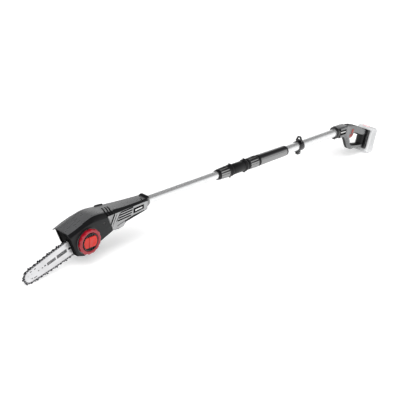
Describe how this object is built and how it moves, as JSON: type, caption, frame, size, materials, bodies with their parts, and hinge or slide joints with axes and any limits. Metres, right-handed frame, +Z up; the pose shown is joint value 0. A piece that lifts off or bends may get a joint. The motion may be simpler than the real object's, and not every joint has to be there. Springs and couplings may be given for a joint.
{
  "type": "telescoping pole saw",
  "caption": "Telescoping battery pole saw: guide bar with chain, covered head with clamp knob, twist-locked tubes, strap ring, looped handle and sliding battery pack.",
  "frame": {"origin": "middle of the bounding box's base, on the floor", "axes": "+X along the pole from the saw head to the handle, +Z up, +Y towards the side away from the clamp knob"},
  "size_m": [1.7696, 0.103, 0.1665],
  "materials": {
    "aluminium_tube": "drawn, satin anodised",
    "black_plastic": "moulded, fine texture",
    "pale_plastic": "natural",
    "steel": "machined",
    "charcoal_plastic": "satin moulded",
    "grey_plastic": "moulded, satin",
    "bar_steel": "brushed",
    "red_plastic": "smooth moulded",
    "cast_alloy": "cast",
    "board_and_cells": "board and wrapped cells",
    "handle_plastic": "moulded, satin",
    "soft_grip": "soft overmould",
    "battery_plastic": "pale moulded",
    "latch_plastic": "pale moulded"
  },
  "bodies": {
    "handle": {"outer_tube": "aluminium_tube", "lock_body": "black_plastic", "lock_collet": "pale_plastic", "front_grip": "black_plastic", "handle_collar": "black_plastic", "handle_shell_left": "handle_plastic", "handle_shell_right": "handle_plastic", "grip_overmould": "soft_grip", "battery_dock": "black_plastic", "switch_body": "black_plastic", "trigger_pin": "steel", "handle_screw": "steel", "coiled_cable": "black_plastic"},
    "lock_nut": {"lock_nut": "black_plastic"},
    "grip_nut": {"grip_nut": "black_plastic"},
    "strap_ring": {"strap_ring": "black_plastic"},
    "strap_screw": {"strap_screw": "steel"},
    "head": {"inner_tube": "aluminium_tube", "tube_end_bush": "black_plastic", "head_top_cover": "charcoal_plastic", "head_housing_left": "grey_plastic", "head_housing_right": "grey_plastic", "front_plate": "black_plastic", "sprocket_cover": "charcoal_plastic", "head_collar": "black_plastic", "tube_socket": "black_plastic", "badge_plate": "black_plastic", "bar_pad_plate": "steel", "clamp_plate": "steel", "bar_stud": "steel", "saw_chain": "steel", "oil_tank": "pale_plastic", "oil_pump": "cast_alloy", "gearcase_plate": "cast_alloy", "output_bearing": "steel", "rear_bearing": "steel", "motor_can": "cast_alloy", "controller_board": "board_and_cells"},
    "bar": {"guide_bar": "bar_steel", "tension_peg": "steel"},
    "nose": {"nose_sprocket": "steel"},
    "tension_ring": {"tension_ring": "red_plastic", "tension_cam": "steel"},
    "clamp_knob": {"clamp_knob": "black_plastic", "knob_pad": "red_plastic", "flap_pin": "steel"},
    "knob_flap": {"knob_flap": "red_plastic"},
    "output": {"output_shaft": "steel", "drive_sprocket": "steel", "output_gear": "steel", "sprocket_clip": "steel"},
    "motor": {"motor_rotor": "steel", "motor_pinion": "steel"},
    "oil_cap": {"oil_cap": "red_plastic"},
    "trigger": {"trigger": "red_plastic"},
    "lock_off_button": {"lock_off_button": "red_plastic"},
    "battery": {"battery_case": "battery_plastic", "battery_cells": "board_and_cells"},
    "battery_latch": {"battery_latch": "latch_plastic"}
  },
  "joints": [
    {"name": "telescope", "type": "slide", "parent": "handle", "child": "head", "axis": [-1, 0, 0], "range_m": [-0.3, 0.18], "deforming": ["coiled_cable"]},
    {"name": "lock_nut_turn", "type": "hinge", "parent": "handle", "child": "lock_nut", "pos_m": [-0.0499, 0.0019, 0.12899], "axis": [1, 0, 0], "range_deg": [0, 90]},
    {"name": "grip_nut_turn", "type": "hinge", "parent": "handle", "child": "grip_nut", "pos_m": [0.1321, 0.0019, 0.12899], "axis": [1, 0, 0], "range_deg": [0, 90]},
    {"name": "strap_ring_slide", "type": "slide", "parent": "handle", "child": "strap_ring", "axis": [1, 0, 0], "range_m": [-0.055, 0.19]},
    {"name": "strap_screw_turn", "type": "hinge", "parent": "strap_ring", "child": "strap_screw", "pos_m": [0.4051, 0.0019, 0.10249], "axis": [0, 1, 0], "range_deg": [0, 720]},
    {"name": "tension_ring_turn", "type": "hinge", "parent": "head", "child": "tension_ring", "pos_m": [-0.6569, 0.0019, 0.08699], "axis": [0, -1, 0], "range_deg": [0, 120]},
    {"name": "bar_tension", "type": "slide", "parent": "head", "child": "bar", "axis": [0.9573, 0, 0.289], "range_m": [0, 0.005]},
    {"name": "nose_spin", "type": "hinge", "parent": "bar", "child": "nose", "pos_m": [-0.8589, -0.0131, 0.026], "axis": [0, -1, 0], "continuous": true},
    {"name": "clamp_knob_turn", "type": "hinge", "parent": "head", "child": "clamp_knob", "pos_m": [-0.6569, 0.0019, 0.08699], "axis": [0, -1, 0], "range_deg": [0, 540]},
    {"name": "knob_flap_fold", "type": "hinge", "parent": "clamp_knob", "child": "knob_flap", "pos_m": [-0.6614, -0.0494, 0.08699], "axis": [0, 0, -1], "range_deg": [0, 90]},
    {"name": "output_spin", "type": "hinge", "parent": "head", "child": "output", "pos_m": [-0.61669, 0.0019, 0.09913], "axis": [0, -1, 0], "continuous": true},
    {"name": "motor_spin", "type": "hinge", "parent": "head", "child": "motor", "pos_m": [-0.59417, 0.0019, 0.10666], "axis": [0, -1, 0], "continuous": true},
    {"name": "oil_cap_turn", "type": "hinge", "parent": "head", "child": "oil_cap", "pos_m": [-0.6779, 0.0439, 0.10299], "axis": [0, 1, 0], "range_deg": [0, 360]},
    {"name": "trigger_pull", "type": "hinge", "parent": "handle", "child": "trigger", "pos_m": [0.7171, 0.0019, 0.10999], "axis": [0, -1, 0], "range_deg": [0, 10], "stiffness_Nm_per_rad": 0.5, "springref_deg": -17.19},
    {"name": "lock_off_press", "type": "slide", "parent": "handle", "child": "lock_off_button", "axis": [0, 1, 0], "range_m": [0, 0.003], "stiffness_N_per_m": 600, "springref_m": -0.002},
    {"name": "battery_slide", "type": "slide", "parent": "handle", "child": "battery", "axis": [0.2588, 0, 0.9659], "range_m": [0, 0.095]},
    {"name": "latch_press", "type": "slide", "parent": "battery", "child": "battery_latch", "axis": [-0.2588, 0, -0.9659], "range_m": [0, 0.003], "stiffness_N_per_m": 600, "springref_m": -0.002}
  ],
  "couplings": [
    {"joint": "tension_ring_turn", "follows": "bar_tension", "rad_per_m": 418.8},
    {"joint": "motor_spin", "follows": "output_spin", "ratio": -2.8},
    {"joint": "nose_spin", "follows": "output_spin", "ratio": 0.54545}
  ]
}
